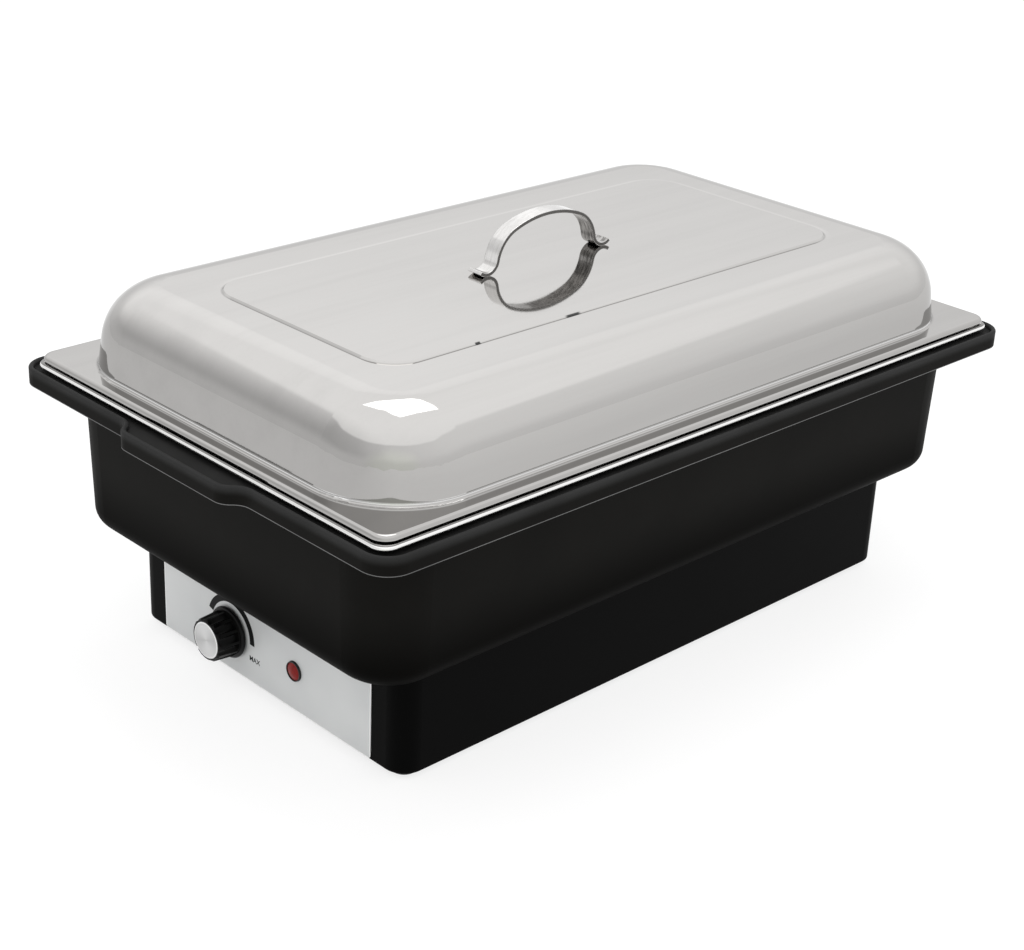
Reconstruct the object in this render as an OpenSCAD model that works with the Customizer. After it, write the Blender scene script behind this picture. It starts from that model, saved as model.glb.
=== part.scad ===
// Electric chafing dish: lift-off lid, gastronorm food pan, heated water tank and control plinth.
// Millimetres, +Z up. X is the long axis and the control plate faces -X.
// The origin lies on the table under the middle of the dish.

/* [Food pan] */
// Rim length along X, gastronorm 1/1
pan_l = 530; // [526:1:534]
// Rim width along Y, gastronorm 1/1
pan_w = 325; // [322:1:328]
// Depth from the rim to the underside of the pan
pan_depth = 65; // [55:1:68]
// Height of the turned-down edge of the rim
pan_lip_h = 2.6; // [2.2:0.1:3.4]

/* [Lid] */
// Flange length along X
lid_l = 526; // [524:1:528]
// Flange width along Y
lid_w = 321; // [319:1:323]
// Height of the dome above its flange
dome_h = 49; // [46:1:56]
// Radius of the rounded upper edge of the dome
dome_edge_r = 36; // [30:1:38]
// Lean of the dome walls in degrees
dome_lean = 8; // [5:1:9]
// Height of the raised panel on the dome
emboss_h = 1.2; // [0.8:0.1:1.6]

/* [Lid handle] */
// Width of the bent strap
strap_w = 11; // [9:1:16]
// Thickness of the strap
strap_t = 2.2; // [2:0.1:3]
// Distance between the two feet
strap_span = 100; // [94:1:106]

/* [Water tank] */
// Outer length at the pan seat
tank_l = 508; // [506:1:510]
// Outer width at the pan seat
tank_w = 300; // [299:1:302]
// Wall thickness
tank_wall = 3; // [2.6:0.1:3.2]
// Height from the underside to the top of the outer rim
tank_h = 101.5; // [99:0.5:106]
// Radius of the lower edge
tank_edge_r = 14; // [11:1:18]
// How far the two end tabs stand out
tab_out = 9.6; // [8:0.4:11.2]

/* [Plinth] */
// Length along X
plinth_l = 436; // [432:1:440]
// Width along Y
plinth_w = 254; // [251:1:257]
// Height from its lower edge to the tank
plinth_h = 69.5; // [67:0.5:74]
// Height of the lower edge above the table
foot_h = 4; // [3:0.5:6]

/* [Controls] */
// Distance of the knob and of the lamp from the middle of the plate
ctrl_y = 31; // [28:1:36]
// Radius of the knob's back skirt
skirt_r = 16.5; // [16:0.5:18]
// Length of the knob in front of the plate
knob_l = 18.5; // [17:0.5:21]
// Number of finger flutes round the knob
knob_flutes = 12; // [9:1:14]
// Radius of the pilot lens
lens_r = 5.6; // [5.2:0.1:5.8]

/* [Hidden] */
$fn = 72;
eps = 0.01;
graze = 0.002;

// Fits
slide_gap = 0.3;
bore_gap = 0.2;
turn_gap = 0.4;

// Levels
deck_z = foot_h + plinth_h;
rim_z = deck_z + tank_h;
pan_top = rim_z + pan_lip_h;
ctrl_z = deck_z - 42;

// Sheet parts
sheet = 1;
lip_lap = 0.2;
pan_corner = 10;
pan_roll = 3;
pan_lean = 4;
pan_edge_r = 14;

// Tank
tank_lean = 1.7;
tank_corner = 36;
tank_floor = 4;
seat_z = pan_top - sheet;
rim_out = 6;
rim_t = 3.2;
rim_h = 11;
rim_corner = 17;
rim_deck = 3;
rim_deck_drop = 3;
rim_a = pan_l / 2 + rim_out;
rim_b = pan_w / 2 + rim_out + 2;
tab_half = 42;
tab_cos = 0.6;
tab_turn = acos(tab_cos);
tab_lap = 1;
tab_r = tab_out / (2 * (1 - tab_cos));
tab_run = 2 * tab_r * sin(tab_turn);

// Pan well, kept clear of the tank walls
well_gap = 3;
well_a = tank_l / 2 - tank_wall - well_gap;
well_b = tank_w / 2 - tank_wall - well_gap;
well_corner = tank_corner + pan_edge_r - tank_wall - well_gap;

// Lid
lid_corner = 10;
lid_gap = 1.4;
lid_lip = 2.8;
flange_z = pan_top + lid_gap + lid_lip;
dome_a = lid_l / 2 - 9.5;
dome_b = lid_w / 2 - 11;
dome_corner = 57;
foot_round = 1.8;
bead_w = 3;
emboss_a = 195;
emboss_b = 83;
emboss_corner = 24;
lid_top = flange_z + dome_h + emboss_h;

// Strap handle
foot_r = 8.5;
shoulder_r = 23;
foot_in = 80;
foot_out = 40;
crown_half = 22;

// Plinth
plinth_wall = 3;
plinth_corner = 14;
plinth_edge_r = 1.5;
deck_t = 5;
deck_a = 190;
deck_b = 100;
deck_corner = 20;
boss_r = 5;
boss_bore = 1.7;
boss_dive = 2.3;
post_r = 4.5;
rib_t = 2;
rib_l = 8;
rib_h = 24;
wall_x = plinth_l / 2;
wall_y = plinth_w / 2;
in_x = wall_x - plinth_wall;
in_y = wall_y - plinth_wall;
post_x = in_x - 11;
post_y = in_y - 11;
post_spots = [[post_x, 80], [post_x, -80], [-post_x, 80], [-post_x, -80], [0, post_y], [0, -post_y]];
tank_spots = [[post_x, 0], [-post_x, 0], [110, post_y], [110, -post_y], [-110, post_y], [-110, -post_y]];

// Control plate
plate_t = 1;
plate_sink = 0.6;
plate_w = 200;
plate_low = 1;
plate_high = 3;
plate_round = 2;
plate_x = wall_x - plate_sink + plate_t;
shaft_r = 3;
shaft_hole = 5;
reg_screw_out = 11;

// Knob
knob_gap = 0.6;
knob_front_r = 13.6;
knob_root_r = 14.6;
skirt_t = 3.2;
flute_r = 3.4;
flute_deep = 1.1;
cap_r = 11.6;
cap_t = 1.2;
cap_sink = 0.9;
flat_cut = 2.2;

// Regulator
reg_w = 40;
reg_h = 34;
reg_d = 28;

// Lamp
bezel_w = 0.9;
bezel_h = 1.4;
lens_h = 2.2;
holder_r = 4.8;
holder_l = 24;
clip_r = 8;
clip_t = 1.2;

// Heater
heat_a = 150;
heat_b = 85;
heat_corner = 22;
heat_lap = 12;
heat_t = 1.5;
seal_t = 1.5;
heat_z = deck_z + tank_floor + seal_t;
stud_r = 2;
stud_l = 12;
frame_t = 2;
nut_r = 3.9;
nut_h = 3.2;
stud_spots = [for (sx = [-1, 1], sy = [-1, 1]) [sx * (heat_a - heat_lap / 2), sy * 40],
  for (sx = [-1, 1], sy = [-1, 1]) [sx * 70, sy * (heat_b - heat_lap / 2)]];
tube_r = 3.25;
tube_gap = 0.1;
tube_z = heat_z - tube_r - tube_gap;
run_in = 22;
run_out = 58;
run_x1 = 100;
run_x0 = -90;
tail_x = -120;
pin_r = 1.5;
pin_l = 10;
bar_w = 12;
bar_t = 1.5;
bar_z = tube_z - tube_r - tube_gap - bar_t;
bar_half = 71;
bar_post = 5;
bar_spots = [-45, 60];
cut_r = 8.5;
cut_h = 9;
cut_x = 8;

// Inlet
inlet_z = foot_h + plinth_h / 2;
inlet_w = 27;
inlet_h = 19.6;
inlet_d = 24;
inlet_flange_w = 50;
inlet_flange_h = 26;
inlet_flange_t = 2.6;
inlet_pitch = 40;
inlet_wall = 1.6;
blade_w = 4;
blade_t = 2;
blade_pitch = 7;
blade_back = 8;
blade_front = 5;

// Terminal block
block_x = 120;
block_l = 24;
block_w = 40;
block_h = 18;
wire_r = 1.3;

// Bottom cover and feet
cover_t = 2.5;
cover_up = 0.5;
cover_z = foot_h + cover_up;
foot_pad_r = 9;
foot_stem_r = 3;
foot_head_r = 4.2;
foot_x = in_x - 11;
foot_y = in_y - 11;
slot_l = 30;
slot_w = 4;
slot_pitch = 12;
slot_n = 6;

// Filled rounded rectangle with half sizes a and b
module rrect(a, b, r) {
  square([2 * a, 2 * (b - r)], center = true);
  square([2 * (a - r), 2 * b], center = true);
  for (sx = [-1, 1], sy = [-1, 1])
    translate([sx * (a - r), sy * (b - r)])
      circle(r = r);
}

// Upright plate or ring wall from a flat outline
module slab(z, h) {
  translate([0, 0, z])
    linear_extrude(height = h)
      children();
}

// Carries a half section round a rounded rectangle; the section's x starts at the corner axis
module sweep(a, b, r) {
  for (q = [0 : 3])
    translate([(q == 0 || q == 3 ? 1 : -1) * (a - r), (q < 2 ? 1 : -1) * (b - r), 0])
      rotate([0, 0, 90 * q])
        rotate_extrude(angle = 90)
          children();
  for (s = [0, 180])
    rotate([0, 0, s]) {
      translate([a - r, b - r, 0])
        rotate([90, 0, 0])
          linear_extrude(height = 2 * (b - r))
            children();
      translate([r - a, b - r, 0])
        rotate([90, 0, 90])
          linear_extrude(height = 2 * (a - r))
            children();
    }
}

// Flat middle that closes a sweep whose section reaches the corner axis
module middle(a, b, r, z, t) {
  translate([r - a, r - b, z])
    cube([2 * (a - r), 2 * (b - r), t]);
}

// Half section of a filled tub: radius r at height h, walls leaning by d, lower edge radius f
module tub2d(r, h, d, f) {
  xc = r - tan(d) * (h - f) - f / cos(d);
  g = f - graze;
  polygon([[0, 0], [xc, 0], [xc, f], [xc + g * cos(d), f - g * sin(d)], [r, h], [0, h]]);
  translate([xc, f])
    intersection() {
      circle(r = f);
      translate([0, -f])
        square(f);
    }
}

// Half section of the sheet of a tub, t thick
module tub_sheet2d(r, h, d, f, t) {
  difference() {
    tub2d(r, h, d, f);
    translate([0, t])
      tub2d(r - t / cos(d), h - t + eps, d, f - t);
  }
}

// Sheet edge rolled down through a quarter turn of radius h, outer radius r, upper face at height z
module lip2d(r, z, h) {
  translate([r - h, z - h])
    intersection() {
      difference() {
        circle(r = h + eps);
        circle(r = h - sheet - eps);
      }
      square(2 * h);
    }
}

// Ring sector in the flat, from angle a0 over a turn of da below 180 degrees
module arc2d(r, t, a0, da) {
  far = 2 * r;
  intersection() {
    difference() {
      circle(r = r + t / 2);
      circle(r = r - t / 2);
    }
    polygon([[0, 0], [far * cos(a0), far * sin(a0)],
      [far * cos(a0 + da / 2), far * sin(a0 + da / 2)] / cos(da / 2),
      [far * cos(a0 + da), far * sin(a0 + da)]]);
  }
}

// Round rod between two points
module rod(p, q, r) {
  d = q - p;
  translate(p)
    rotate([0, acos(d[2] / norm(d)), atan2(d[1], d[0])])
      cylinder(r = r, h = norm(d));
}

// Wire through a list of points
module wire(pts) {
  for (i = [0 : len(pts) - 2])
    rod(pts[i], pts[i + 1], wire_r);
  for (i = [1 : len(pts) - 2])
    translate(pts[i])
      rotate([0, 0, 90])
        sphere(r = wire_r + bore_gap);
}

// Screw with its head on z = 0 and its shank pointing up
module screw(d, l, head_r, head_h) {
  slot = head_r / 4;
  cylinder(d = d, h = l);
  difference() {
    translate([0, 0, -head_h])
      cylinder(r1 = head_r * 0.8, r2 = head_r, h = head_h);
    for (a = [0, 90])
      rotate([0, 0, a])
        translate([0, 0, -head_h])
          cube([head_r, slot, head_h], center = true);
  }
}

// Places a control on the plate with its axis pointing out of it
module at_control(y, x = plate_x) {
  translate([-x, y, ctrl_z])
    rotate([0, -90, 0])
      children();
}

// Dome sheet with its foot round, flange, edge and seat bead
module lid_shell() {
  lid_in = lid_lip - lip_lap;
  fx = dome_corner - tan(dome_lean) * foot_round + foot_round / cos(dome_lean);
  seat_c = well_corner - sheet + pan_roll + 6;
  seat_a = well_a - sheet + pan_roll + 6;
  seat_b = well_b - sheet + pan_roll + 6;
  color("gainsboro")
    translate([0, 0, flange_z])
      difference() {
        union() {
          sweep(dome_a, dome_b, dome_corner) {
            translate([0, dome_h])
              mirror([0, 1])
                tub_sheet2d(dome_corner, dome_h, dome_lean, dome_edge_r, sheet);
            difference() {
              polygon([[dome_corner - sheet / 2, -sheet / 2], [fx, -sheet / 2], [fx, foot_round],
                [dome_corner - sheet / 2 - tan(dome_lean) * foot_round, foot_round]]);
              translate([fx, foot_round])
                circle(r = foot_round + graze);
            }
          }
          middle(dome_a, dome_b, dome_corner, dome_h - sheet, sheet);
          slab(-sheet, sheet)
            difference() {
              rrect(lid_l / 2 - lid_in, lid_w / 2 - lid_in, lid_corner - lid_in);
              rrect(dome_a - sheet / 2, dome_b - sheet / 2, dome_corner - sheet / 2);
            }
          sweep(lid_l / 2, lid_w / 2, lid_corner)
            lip2d(lid_corner, 0, lid_lip);
          slab(-lid_lip - lid_gap, lid_lip + lid_gap - sheet / 2)
            difference() {
              rrect(seat_a, seat_b, seat_c);
              rrect(seat_a - bead_w, seat_b - bead_w, seat_c - bead_w);
            }
          sweep(emboss_a, emboss_b, emboss_corner)
            translate([0, dome_h - sheet / 2])
              tub_cap2d(emboss_corner, emboss_h + sheet / 2);
          middle(emboss_a, emboss_b, emboss_corner, dome_h - sheet / 2, emboss_h + sheet / 2);
        }
        sweep(emboss_a, emboss_b, emboss_corner)
          translate([0, dome_h - 2 * sheet])
            tub_cap2d(emboss_corner - sheet, emboss_h + sheet);
        middle(emboss_a, emboss_b, emboss_corner, dome_h - 2 * sheet, emboss_h + sheet);
      }
}

// Half section of a low plate with a sloping edge
module tub_cap2d(r, h) {
  polygon([[0, 0], [r, 0], [r - h, h], [0, h]]);
}

// One bent strap with curled feet, round shoulders and a curved crown
module lid_handle() {
  mid = strap_t / 2;
  fx = strap_span / 2;
  fz = foot_r + mid + eps;
  ax = fx - (foot_r + shoulder_r) * sin(foot_in);
  az = fz - (foot_r + shoulder_r) * cos(foot_in);
  crown_r = shoulder_r + ax / sin(crown_half);
  cz = az - (crown_r - shoulder_r) * cos(crown_half);
  lap = 0.6;
  thick = strap_t + 2 * eps;
  color("silver")
    translate([0, strap_w / 2, lid_top])
      rotate([90, 0, 0])
        linear_extrude(height = strap_w) {
          for (m = [0, 1])
            mirror([m, 0]) {
              translate([fx, fz])
                arc2d(foot_r, thick, 270 - foot_in, foot_in + foot_out);
              translate([ax, az])
                arc2d(shoulder_r, strap_t, 90 - foot_in - lap, foot_in - crown_half + 2 * lap);
            }
          translate([0, cz])
            arc2d(crown_r, thick, 90 - crown_half, 2 * crown_half);
        }
}

// Pressed pan with rolled shoulder and turned-down rim
module food_pan() {
  pan_in = pan_lip_h - lip_lap;
  wall_h = pan_depth - pan_roll;
  hole = pan_roll - sheet;
  color("lightgray")
    translate([0, 0, pan_top - pan_depth]) {
      sweep(well_a, well_b, well_corner) {
        tub_sheet2d(well_corner, wall_h, pan_lean, pan_edge_r, sheet);
        translate([well_corner + hole, wall_h])
          difference() {
            circle(r = pan_roll);
            circle(r = pan_roll - sheet);
            translate([0, -pan_roll])
              square(2 * pan_roll);
            translate([-pan_roll, -2 * pan_roll])
              square(2 * pan_roll);
          }
      }
      middle(well_a, well_b, well_corner, 0, sheet);
      slab(pan_depth - sheet, sheet)
        difference() {
          rrect(pan_l / 2 - pan_in, pan_w / 2 - pan_in, pan_corner - pan_in);
          rrect(well_a + hole, well_b + hole, well_corner + hole);
        }
      sweep(pan_l / 2, pan_w / 2, pan_corner)
        lip2d(pan_corner, pan_depth, pan_lip_h);
    }
}

// Section of the upright outer rim wall, standing on the rim's lower edge, grown by g
module rim_wall2d(g = 0) {
  translate([-g, 0])
    square([rim_t + 2 * g, rim_h - rim_t / 2]);
  translate([rim_t / 2, rim_h - rim_t / 2])
    circle(r = rim_t / 2 + g);
}

// Plan of one end tab with S-shaped ends, drawn in by d
module tab2d(d) {
  r1 = tab_r - d;
  r2 = tab_r + d;
  u1 = tab_out - tab_r;
  v2 = tab_half + tab_run;
  mu = u1 + r1 * cos(tab_turn);
  mv = tab_half + r1 * sin(tab_turn);
  difference() {
    union() {
      polygon([[-d, v2], [mu, mv], [u1 + r1, tab_half], [u1 + r1, -tab_half], [mu, -mv], [-d, -v2]]);
      intersection() {
        for (s = [-1, 1])
          translate([u1, s * tab_half])
            circle(r = r1);
        translate([-d, -v2])
          square([2 * tab_r, 2 * v2]);
      }
    }
    for (s = [-1, 1])
      translate([tab_r, s * v2])
        circle(r = r2);
  }
}

// Upright rim wall with its round top, swept round the corners and both end tabs
module rim_wall() {
  v2 = tab_half + tab_run;
  run = rim_b - rim_corner - v2;
  translate([0, 0, rim_z - rim_h]) {
    for (q = [0 : 3])
      translate([(q == 0 || q == 3 ? 1 : -1) * (rim_a - rim_corner), (q < 2 ? 1 : -1) * (rim_b - rim_corner), 0])
        rotate([0, 0, 90 * q])
          rotate_extrude(angle = 90)
            translate([rim_corner - rim_t, 0])
              rim_wall2d();
    for (s = [0, 180])
      rotate([0, 0, s]) {
        translate([rim_corner - rim_a, rim_b - rim_t, 0])
          rotate([90, 0, 90])
            linear_extrude(height = 2 * (rim_a - rim_corner))
              rim_wall2d();
        for (m = [0, 1])
          mirror([0, m, 0])
            translate([rim_a, 0, 0]) {
              translate([-rim_t, v2 + run, 0])
                rotate([90, 0, 0])
                  linear_extrude(height = run)
                    rim_wall2d();
              translate([tab_r, v2, 0])
                rotate([0, 0, 180])
                  rotate_extrude(angle = tab_turn)
                    translate([tab_r, 0])
                      rim_wall2d(eps);
              translate([tab_out - tab_r, tab_half, 0])
                rotate_extrude(angle = tab_turn + tab_lap)
                  translate([tab_r - rim_t, 0])
                    rim_wall2d();
            }
        translate([rim_a + tab_out - rim_t, tab_half, 0])
          rotate([90, 0, 0])
            linear_extrude(height = 2 * tab_half)
              rim_wall2d();
      }
  }
}

// Moulded tank with pan seat, rim channel, end tabs and fixing bosses
module water_tank() {
  bowl_h = seat_z - deck_z;
  lid_over = tank_l / 2 - tank_wall;
  mid = rim_t / 2;
  color([0.13, 0.125, 0.12])
    difference() {
      union() {
        translate([0, 0, deck_z]) {
          sweep(tank_l / 2, tank_w / 2, tank_corner)
            difference() {
              tub2d(tank_corner, bowl_h, tank_lean, tank_edge_r);
              translate([0, tank_floor])
                tub2d(tank_corner - tank_wall, bowl_h - tank_floor + eps, tank_lean, tank_edge_r - tank_wall);
            }
          middle(tank_l / 2, tank_w / 2, tank_corner, 0, tank_floor);
        }
        rim_wall();
        slab(rim_z - rim_deck_drop - rim_deck, rim_deck)
          difference() {
            union() {
              rrect(rim_a - mid, rim_b - mid, rim_corner - mid);
              for (s = [0, 180])
                rotate(s)
                  translate([rim_a, 0])
                    tab2d(mid);
            }
            rrect(lid_over, tank_w / 2 - tank_wall, tank_corner - tank_wall);
          }
        for (p = tank_spots)
          translate([p[0], p[1], deck_z - deck_t + slide_gap])
            cylinder(r = boss_r, h = deck_t - slide_gap + eps);
      }
      slab(deck_z - eps, tank_floor + 2 * eps)
        rrect(heat_a - heat_lap, heat_b - heat_lap, heat_corner - heat_lap / 2);
      for (p = stud_spots)
        translate([p[0], p[1], deck_z - eps])
          cylinder(r = stud_r + bore_gap, h = tank_floor + 2 * eps);
      for (p = tank_spots)
        translate([p[0], p[1], deck_z - deck_t])
          cylinder(r = boss_bore, h = deck_t + boss_dive);
    }
}

// Plinth wall with deck ring, posts, ribs and panel openings
module plinth() {
  rib_z = deck_z - deck_t - rib_h;
  cover_top = cover_z + cover_t;
  color([0.12, 0.115, 0.11])
    difference() {
      union() {
        translate([0, 0, foot_h])
          sweep(wall_x, wall_y, plinth_corner)
            difference() {
              tub2d(plinth_corner, plinth_h, 0, plinth_edge_r);
              translate([0, -eps])
                square([plinth_corner - plinth_wall, plinth_h + 2 * eps]);
            }
        slab(deck_z - deck_t, deck_t)
          difference() {
            rrect(wall_x - plinth_wall / 2, wall_y - plinth_wall / 2, plinth_corner - plinth_wall / 2);
            rrect(deck_a, deck_b, deck_corner);
          }
        for (p = post_spots)
          translate([p[0], p[1], cover_top])
            cylinder(r = post_r, h = deck_z - deck_t - cover_top + eps);
        for (x = [-150, -50, 50, 150], s = [-1, 1])
          translate([x - rib_t / 2, s > 0 ? in_y - rib_l : -in_y - eps, rib_z])
            cube([rib_t, rib_l + eps, rib_h + eps]);
        for (y = [-60, 60], s = [-1, 1])
          translate([s > 0 ? in_x - rib_l : -in_x - eps, y - rib_t / 2, rib_z])
            cube([rib_l + eps, rib_t, rib_h + eps]);
      }
      for (p = tank_spots)
        translate([p[0], p[1], deck_z - deck_t - eps])
          cylinder(r = boss_r + slide_gap, h = deck_t + 2 * eps);
      for (p = post_spots)
        translate([p[0], p[1], cover_top - eps])
          cylinder(r = boss_bore, h = 2 * post_r);
      translate([-wall_x - eps, 0, 0])
        rotate([90, 0, 90])
          linear_extrude(height = plate_sink + eps)
            plate2d(bore_gap);
      at_control(ctrl_y)
        translate([0, 0, -plinth_wall - plate_t])
          cylinder(r = shaft_hole, h = plinth_wall + 2 * plate_t);
      for (s = [-1, 1])
        at_control(ctrl_y + s * reg_screw_out)
          translate([0, 0, -plinth_wall - plate_t])
            cylinder(r = boss_bore + bore_gap, h = plinth_wall + 2 * plate_t);
      at_control(-ctrl_y)
        translate([0, 0, -plinth_wall - plate_t])
          cylinder(r = holder_r + bore_gap, h = plinth_wall + 2 * plate_t);
      translate([in_x - eps, 0, inlet_z])
        rotate([90, 0, 90])
          linear_extrude(height = plinth_wall + 2 * eps)
            inlet2d(bore_gap);
      for (s = [-1, 1])
        translate([in_x - eps, s * inlet_pitch / 2, inlet_z])
          rotate([0, 90, 0])
            cylinder(r = boss_bore, h = plinth_wall + 2 * eps);
    }
}

// Outline of the control plate in Y and Z, grown by d
module plate2d(d) {
  z0 = foot_h + plate_low;
  h = plinth_h - plate_low - plate_high;
  translate([0, z0 + h / 2])
    rrect(plate_w / 2 + d, h / 2 + d, plate_round);
}

// Thin control plate let into the end of the plinth
module control_plate() {
  color([0.76, 0.77, 0.77])
    difference() {
      translate([-plate_x, 0, 0])
        rotate([90, 0, 90])
          linear_extrude(height = plate_t)
            plate2d(0);
      at_control(ctrl_y)
        translate([0, 0, -2 * plate_t])
          cylinder(r = shaft_hole, h = 3 * plate_t);
      for (s = [-1, 1])
        at_control(ctrl_y + s * reg_screw_out)
          translate([0, 0, -2 * plate_t])
            cylinder(r = boss_bore + bore_gap, h = 3 * plate_t);
      at_control(-ctrl_y)
        translate([0, 0, -2 * plate_t])
          cylinder(r = holder_r + bore_gap, h = 3 * plate_t);
    }
}

// D-shaped shaft outline, grown by d
module shaft2d(d) {
  difference() {
    circle(r = shaft_r + d);
    translate([-shaft_r - 1, flat_cut + d])
      square(2 * shaft_r + 2);
  }
}

// Fluted knob with a round-edged back skirt
module knob() {
  edge = skirt_t / 2;
  body_l = knob_l - knob_gap;
  hollow_r = knob_root_r - 3;
  hollow_l = 7;
  color([0.05, 0.05, 0.05])
    at_control(ctrl_y)
      translate([0, 0, knob_gap])
        difference() {
          union() {
            rotate_extrude() {
              square([skirt_r - edge, skirt_t]);
              translate([skirt_r - edge, edge])
                circle(r = edge);
              polygon([[0, 0], [knob_root_r, 0], [knob_root_r, skirt_t + 1], [knob_front_r, body_l - 1],
                [knob_front_r - 1, body_l], [0, body_l]]);
            }
          }
          for (i = [0 : knob_flutes - 1])
            rotate([0, 0, (i + 0.5) * 360 / knob_flutes])
              translate([knob_front_r + flute_r - flute_deep, 0, skirt_t + 0.8])
                cylinder(r = flute_r, h = body_l);
          translate([0, 0, body_l - cap_sink])
            cylinder(r = cap_r + bore_gap / 2, h = cap_sink + eps);
          translate([0, 0, -eps])
            difference() {
              cylinder(r = hollow_r, h = hollow_l);
              cylinder(r = 2 * shaft_r, h = hollow_l);
            }
          translate([0, 0, -eps])
            linear_extrude(height = body_l - 3)
              shaft2d(bore_gap / 4);
        }
}

// Spun metal disc on the knob
module knob_cap() {
  ring = 0.8;
  color([0.82, 0.82, 0.82])
    at_control(ctrl_y)
      translate([0, 0, knob_l - cap_sink])
        rotate_extrude()
          polygon([[0, 0], [cap_r, 0], [cap_r, cap_t - 0.3], [cap_r - 0.3, cap_t], [cap_r - ring, cap_t],
            [cap_r - 2 * ring, cap_t - 0.4], [0, cap_t - 0.4]]);
}

// Regulator shaft that turns with the knob
module regulator_shaft() {
  back = plinth_wall + plate_t - plate_sink + reg_d / 2;
  color([0.7, 0.66, 0.5])
    at_control(ctrl_y)
      translate([0, 0, -back])
        linear_extrude(height = back + knob_l - 4)
          shaft2d(0);
}

// Regulator body screwed behind the plate
module heat_regulator() {
  tab_l = 7;
  tab_w = 6;
  tab_t = 0.8;
  color([0.9, 0.88, 0.8])
    translate([-in_x, ctrl_y, ctrl_z])
      difference() {
        union() {
          translate([0, -reg_w / 2, -reg_h / 2])
            cube([reg_d, reg_w, reg_h]);
          for (y = [-12, 0, 12])
            translate([reg_d - eps, y - tab_w / 2, 8])
              cube([tab_l, tab_w, tab_t]);
        }
        rotate([0, 90, 0])
          translate([0, 0, -eps])
            cylinder(r = shaft_r + turn_gap, h = reg_d / 2 + 1);
        for (s = [-1, 1])
          translate([-eps, s * reg_screw_out, 0])
            rotate([0, 90, 0])
              cylinder(r = boss_bore, h = 7);
      }
}

// Two screws that hold the regulator, hidden by the knob
module regulator_screws() {
  head_h = 1.6;
  under = plinth_wall + plate_t - plate_sink;
  color("silver")
    for (s = [-1, 1])
      at_control(ctrl_y + s * reg_screw_out)
        mirror([0, 0, 1])
          screw(2 * boss_bore - bore_gap, under + 6, 2.6, knob_gap + head_h - 1.7);
}

// Red pilot lens
module lamp_lens() {
  color([0.7, 0.08, 0.06])
    at_control(-ctrl_y)
      rotate_extrude()
        intersection() {
          translate([0, lens_h - 12])
            circle(r = 12);
          square([lens_r, lens_h]);
        }
}

// Dark ring round the pilot lens
module lamp_bezel() {
  color([0.12, 0.05, 0.05])
    at_control(-ctrl_y)
      difference() {
        cylinder(r1 = lens_r + bezel_w, r2 = lens_r + bezel_w - 0.3, h = bezel_h);
        translate([0, 0, -eps])
          cylinder(r = lens_r + bore_gap / 2, h = bezel_h + 2 * eps);
      }
}

// Lamp tube behind the lens with two solder tags
module lamp_holder() {
  tag_l = 6;
  color([0.92, 0.9, 0.86])
    at_control(-ctrl_y)
      translate([0, 0, -holder_l]) {
        cylinder(r = holder_r, h = holder_l);
        for (y = [-2, 2])
          translate([-1.5, y - 0.4, -tag_l])
            cube([3, 0.8, tag_l + eps]);
      }
}

// Spring washer that holds the lamp to the wall
module lamp_clip() {
  back = plinth_wall + plate_t - plate_sink;
  color("silver")
    at_control(-ctrl_y)
      translate([0, 0, -back - clip_t])
        difference() {
          cylinder(r = clip_r, h = clip_t);
          translate([0, 0, -eps])
            cylinder(r = holder_r + bore_gap / 2, h = clip_t + 2 * eps);
        }
}

// Stainless heater plate on the tank floor with welded studs
module heater_plate() {
  color([0.8, 0.8, 0.79]) {
    slab(heat_z, heat_t)
      rrect(heat_a, heat_b, heat_corner);
    for (p = stud_spots)
      translate([p[0], p[1], heat_z - stud_l])
        cylinder(r = stud_r, h = stud_l + eps);
  }
}

// Flat silicone seal under the plate's edge
module plate_seal() {
  color([0.75, 0.3, 0.2])
    slab(deck_z + tank_floor, seal_t)
      difference() {
        rrect(heat_a, heat_b, heat_corner);
        rrect(heat_a - heat_lap, heat_b - heat_lap, heat_corner - heat_lap / 2);
        for (p = stud_spots)
          translate(p)
            circle(r = stud_r + bore_gap);
      }
}

// Steel frame that spreads the clamping load under the floor
module clamp_frame() {
  color([0.6, 0.6, 0.6])
    slab(deck_z - frame_t, frame_t)
      difference() {
        rrect(heat_a, heat_b, heat_corner);
        rrect(heat_a - heat_lap, heat_b - heat_lap, heat_corner - heat_lap / 2);
        for (p = stud_spots)
          translate(p)
            circle(r = stud_r + bore_gap);
      }
}

// Hexagon nuts on the studs
module plate_nuts() {
  color("silver")
    for (p = stud_spots)
      translate([p[0], p[1], deck_z - frame_t - nut_h])
        linear_extrude(height = nut_h)
          difference() {
            circle(r = nut_r, $fn = 6);
            circle(r = stud_r + bore_gap);
          }
}

// Tubular element bent to four runs under the plate
module heating_element() {
  bend = (run_out - run_in) / 2;
  color([0.35, 0.33, 0.32])
    translate([0, 0, tube_z]) {
      for (s = [-1, 1]) {
        rod([tail_x, s * run_out, 0], [run_x1, s * run_out, 0], tube_r);
        rod([run_x0, s * run_in, 0], [run_x1, s * run_in, 0], tube_r);
        rod([tail_x - pin_l, s * run_out, 0], [tail_x + 1, s * run_out, 0], pin_r);
        translate([run_x1, s * (run_in + bend), 0])
          rotate([0, 0, -90])
            rotate_extrude(angle = 180)
              translate([bend, 0])
                circle(r = tube_r);
      }
      translate([run_x0, 0, 0])
        rotate([0, 0, 90])
          rotate_extrude(angle = 180)
            translate([run_in, 0])
              circle(r = tube_r);
    }
}

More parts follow.
